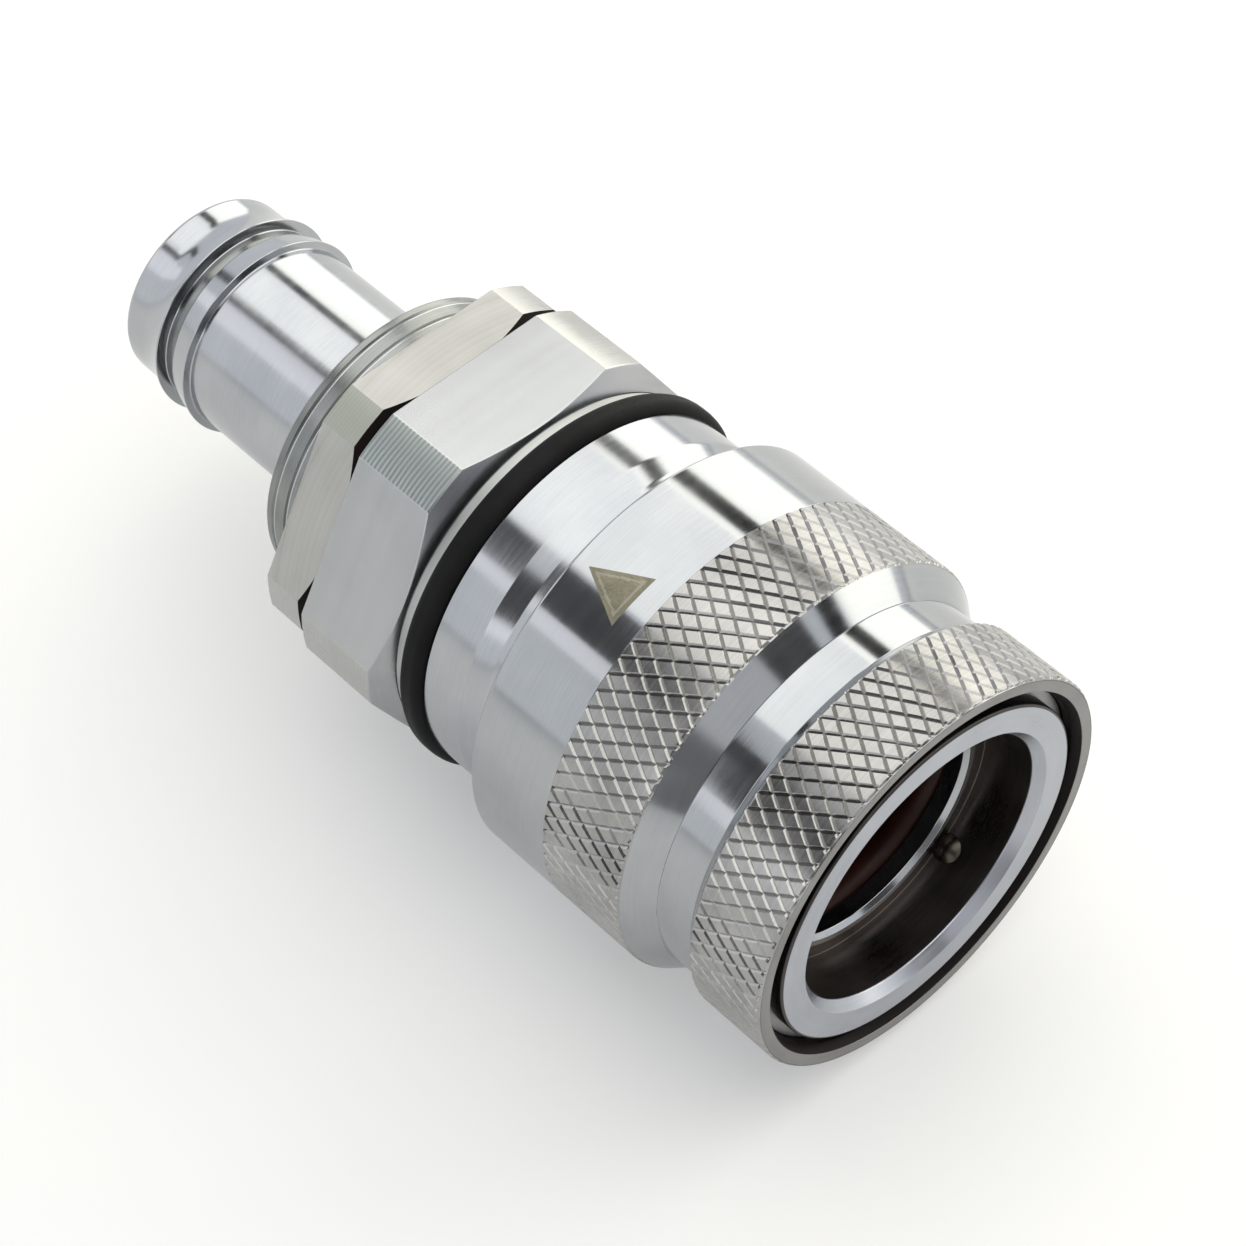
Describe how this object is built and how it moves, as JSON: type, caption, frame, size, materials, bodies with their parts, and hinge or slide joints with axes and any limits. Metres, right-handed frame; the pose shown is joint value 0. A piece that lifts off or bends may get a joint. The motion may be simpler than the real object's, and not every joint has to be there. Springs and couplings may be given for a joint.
{
  "type": "liquid cooling quick coupling",
  "caption": "Socket half of a liquid cooling quick coupling: a sprung sleeve releases locking balls round the mouth, a poppet shuts the bore, and a barb takes the hose.",
  "frame": {"origin": "on the coupling's axis, at the front edge of the bore that takes the plug's nose", "axes": "+X along the axis, out of the mouth; +Z square to a flat of both hexagons; +Y completes a right-handed frame"},
  "size_m": [0.0556, 0.0246, 0.0246],
  "materials": {
    "body_steel": "fine turned stainless steel",
    "sleeve_steel": "turned and knurled stainless steel",
    "valve_steel": "turned stainless steel",
    "ball_steel": "polished balls",
    "spring_steel": "drawn wire and stamped strip",
    "black_rubber": "moulded black rubber",
    "packing": "moulded red-brown rubber"
  },
  "bodies": {
    "socket": {"socket_body": "body_steel", "hose_barb": "body_steel", "joint_seal": "black_rubber", "bumper_ring": "black_rubber", "stop_ring": "spring_steel", "bore_seal": "packing", "valve_guide": "valve_steel", "guide_clip": "spring_steel", "valve_spring": "spring_steel"},
    "sleeve_turn": {"sleeve_spring": "spring_steel"},
    "sleeve": {"lock_sleeve": "sleeve_steel"},
    "valve": {"valve_poppet": "valve_steel", "valve_seal": "black_rubber"},
    "ball_1": {"lock_ball_1": "ball_steel"},
    "ball_2": {"lock_ball_2": "ball_steel"},
    "ball_3": {"lock_ball_3": "ball_steel"},
    "ball_4": {"lock_ball_4": "ball_steel"}
  },
  "joints": [
    {"name": "sleeve_spin", "type": "hinge", "parent": "socket", "child": "sleeve_turn", "pos_m": [0, 0, 0], "axis": [1, 0, 0], "continuous": true},
    {"name": "sleeve_slide", "type": "slide", "parent": "sleeve_turn", "child": "sleeve", "axis": [-1, 0, 0], "range_m": [0, 0.0029], "stiffness_N_per_m": 1500, "springref_m": -0.004, "deforming": ["sleeve_spring"]},
    {"name": "ball_1_lift", "type": "slide", "parent": "socket", "child": "ball_1", "axis": [0, 0.766, 0.6428], "range_m": [0, 0.000364]},
    {"name": "ball_2_lift", "type": "slide", "parent": "socket", "child": "ball_2", "axis": [0, -0.6428, 0.766], "range_m": [0, 0.000364]},
    {"name": "ball_3_lift", "type": "slide", "parent": "socket", "child": "ball_3", "axis": [0, -0.766, -0.6428], "range_m": [0, 0.000364]},
    {"name": "ball_4_lift", "type": "slide", "parent": "socket", "child": "ball_4", "axis": [0, 0.6428, -0.766], "range_m": [0, 0.000364]},
    {"name": "valve_slide", "type": "slide", "parent": "socket", "child": "valve", "axis": [-1, 0, 0], "range_m": [0, 0.0038], "stiffness_N_per_m": 600, "springref_m": -0.005, "deforming": ["valve_spring"]}
  ],
  "couplings": [
    {"joint": "ball_1_lift", "follows": "sleeve_slide", "ratio": 0.1244},
    {"joint": "ball_2_lift", "follows": "sleeve_slide", "ratio": 0.1244},
    {"joint": "ball_3_lift", "follows": "sleeve_slide", "ratio": 0.1244},
    {"joint": "ball_4_lift", "follows": "sleeve_slide", "ratio": 0.1244}
  ]
}
